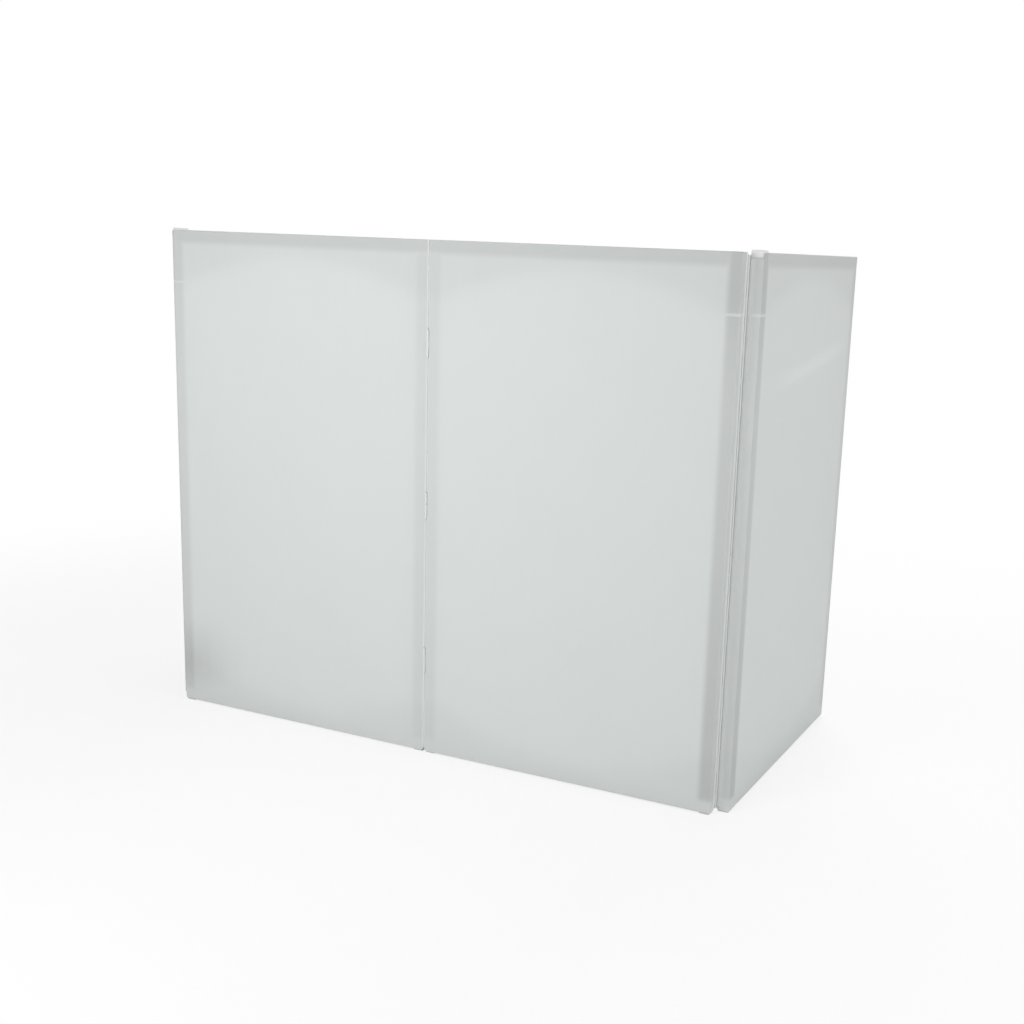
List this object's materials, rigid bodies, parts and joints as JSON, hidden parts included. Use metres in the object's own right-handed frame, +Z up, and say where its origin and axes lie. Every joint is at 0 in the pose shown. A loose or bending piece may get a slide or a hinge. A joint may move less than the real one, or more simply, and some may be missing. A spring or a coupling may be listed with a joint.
{
  "type": "folding dj booth screen",
  "caption": "Folding free-standing booth screen: tube-framed front and side panels under white stretch covers, hinged to fold flat, open at the back for a table and performer.",
  "frame": {"origin": "on the floor, in the middle of the booth's width and depth", "axes": "+X to the right seen from the front, +Y to the back, +Z up; the front faces -Y"},
  "size_m": [1.5332, 0.7682, 1.207],
  "materials": {
    "frame_tube": "white powder coat",
    "cover_cloth": "fine white stretch knit",
    "white_plastic": "moulded white plastic",
    "hinge_leaf": "white painted steel",
    "zinc_steel": "zinc plated"
  },
  "bodies": {
    "front_left": {"centre_hinge_left_leaves": "hinge_leaf", "centre_hinge_left_screws": "zinc_steel", "centre_hinge_pins": "zinc_steel", "front_left_bottom_rail": "frame_tube", "front_left_centre_post": "frame_tube", "front_left_cover_hems": "cover_cloth", "front_left_cover_sheet": "cover_cloth", "front_left_feet": "white_plastic", "front_left_joint_screws": "zinc_steel", "front_left_outer_post": "frame_tube", "front_left_post_caps": "white_plastic", "front_left_rail_plugs": "white_plastic", "front_left_top_rail": "frame_tube", "left_hinge_front_leaves": "hinge_leaf", "left_hinge_front_screws": "zinc_steel", "left_hinge_pins": "zinc_steel"},
    "front_right": {"centre_hinge_right_leaves": "hinge_leaf", "centre_hinge_right_screws": "zinc_steel", "front_right_bottom_rail": "frame_tube", "front_right_centre_post": "frame_tube", "front_right_cover_hems": "cover_cloth", "front_right_cover_sheet": "cover_cloth", "front_right_feet": "white_plastic", "front_right_joint_screws": "zinc_steel", "front_right_outer_post": "frame_tube", "front_right_post_caps": "white_plastic", "front_right_rail_plugs": "white_plastic", "front_right_top_rail": "frame_tube", "right_hinge_front_leaves": "hinge_leaf", "right_hinge_front_screws": "zinc_steel", "right_hinge_pins": "zinc_steel"},
    "side_left": {"left_hinge_side_leaves": "hinge_leaf", "left_hinge_side_screws": "zinc_steel", "side_left_bottom_rail": "frame_tube", "side_left_cover_hems": "cover_cloth", "side_left_cover_sheet": "cover_cloth", "side_left_feet": "white_plastic", "side_left_front_post": "frame_tube", "side_left_joint_screws": "zinc_steel", "side_left_post_caps": "white_plastic", "side_left_rail_plugs": "white_plastic", "side_left_rear_post": "frame_tube", "side_left_top_rail": "frame_tube"},
    "side_right": {"right_hinge_side_leaves": "hinge_leaf", "right_hinge_side_screws": "zinc_steel", "side_right_bottom_rail": "frame_tube", "side_right_cover_hems": "cover_cloth", "side_right_cover_sheet": "cover_cloth", "side_right_feet": "white_plastic", "side_right_front_post": "frame_tube", "side_right_joint_screws": "zinc_steel", "side_right_post_caps": "white_plastic", "side_right_rail_plugs": "white_plastic", "side_right_rear_post": "frame_tube", "side_right_top_rail": "frame_tube"}
  },
  "joints": [
    {"name": "centre_fold", "type": "hinge", "parent": "front_left", "child": "front_right", "pos_m": [0, -0.38155, 0.6015], "axis": [0, 0, -1], "range_deg": [0, 180]},
    {"name": "left_corner", "type": "hinge", "parent": "front_left", "child": "side_left", "pos_m": [-0.7345, -0.34855, 0.6015], "axis": [0, 0, -1], "range_deg": [-90, 90]},
    {"name": "right_corner", "type": "hinge", "parent": "front_right", "child": "side_right", "pos_m": [0.7345, -0.34855, 0.6015], "axis": [0, 0, 1], "range_deg": [-90, 90]}
  ]
}
